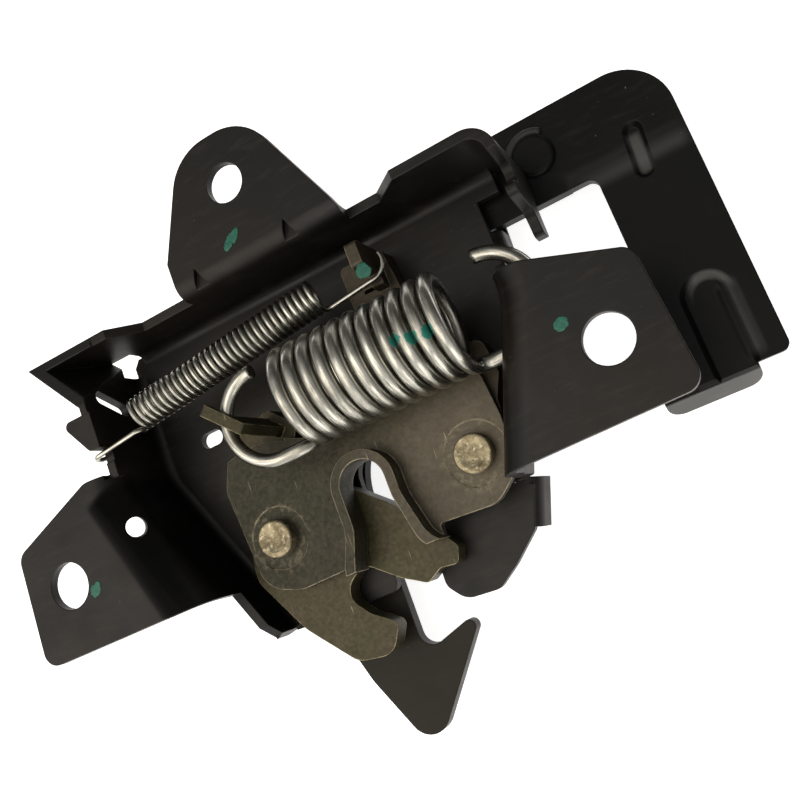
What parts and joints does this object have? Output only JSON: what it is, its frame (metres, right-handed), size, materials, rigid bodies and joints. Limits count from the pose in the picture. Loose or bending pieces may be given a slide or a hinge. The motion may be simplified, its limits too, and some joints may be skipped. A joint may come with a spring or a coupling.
{
  "type": "bonnet latch",
  "caption": "Vehicle bonnet latch: pressed carrier with fixing ears, claw and pawl behind a slotted front plate, extension springs and a hooked safety lever.",
  "frame": {"origin": "centre of the fixing hole in the right ear, on the ear's front face", "axes": "+X to the right along the pan's top wall, towards the safety lever's handle; +Y up, from the striker's way in towards the top ear; +Z out of the ears' front face, square to the pan's floor"},
  "size_m": [0.1553, 0.1253, 0.0409],
  "materials": {
    "black_coat": "thin black dip coat over pressed steel, satin, browner on the broad ears, bare specks on edges",
    "olive_steel": "olive-brown passivated steel plate, smooth, lighter and scratched along its cut edges",
    "rivet_steel": "bare pale steel with a dull yellow cast, turned rings and small pits on the heads",
    "spring_steel": "bright zinc-plated spring wire with drawn scratches along the wire"
  },
  "bodies": {
    "carrier": {"base_plate": "black_coat", "front_plate": "olive_steel", "claw_rivet": "rivet_steel", "pawl_rivet": "rivet_steel", "safety_rivet": "black_coat"},
    "claw": {"claw": "olive_steel", "claw_spring": "spring_steel"},
    "pawl": {"pawl": "olive_steel", "pawl_spring": "spring_steel"},
    "safety_lever": {"safety_lever": "black_coat", "safety_spring": "spring_steel"}
  },
  "joints": [
    {"name": "claw_turn", "type": "hinge", "parent": "carrier", "child": "claw", "pos_m": [-0.076, -0.0072, -0.017], "axis": [0, 0, 1], "range_deg": [0, 50], "stiffness_Nm_per_rad": 0.9, "springref_deg": -20.05, "deforming": ["claw_spring"]},
    {"name": "pawl_turn", "type": "hinge", "parent": "carrier", "child": "pawl", "pos_m": [-0.0317, -0.0072, -0.017], "axis": [0, 0, -1], "range_deg": [0, 9], "stiffness_Nm_per_rad": 0.4, "springref_deg": -20.05, "deforming": ["pawl_spring"]},
    {"name": "safety_turn", "type": "hinge", "parent": "carrier", "child": "safety_lever", "pos_m": [-0.00165, 0.0432, -0.0252], "axis": [0, 0, -1], "range_deg": [0, 12], "stiffness_Nm_per_rad": 0.6, "springref_deg": -22.92, "deforming": ["safety_spring"]}
  ]
}
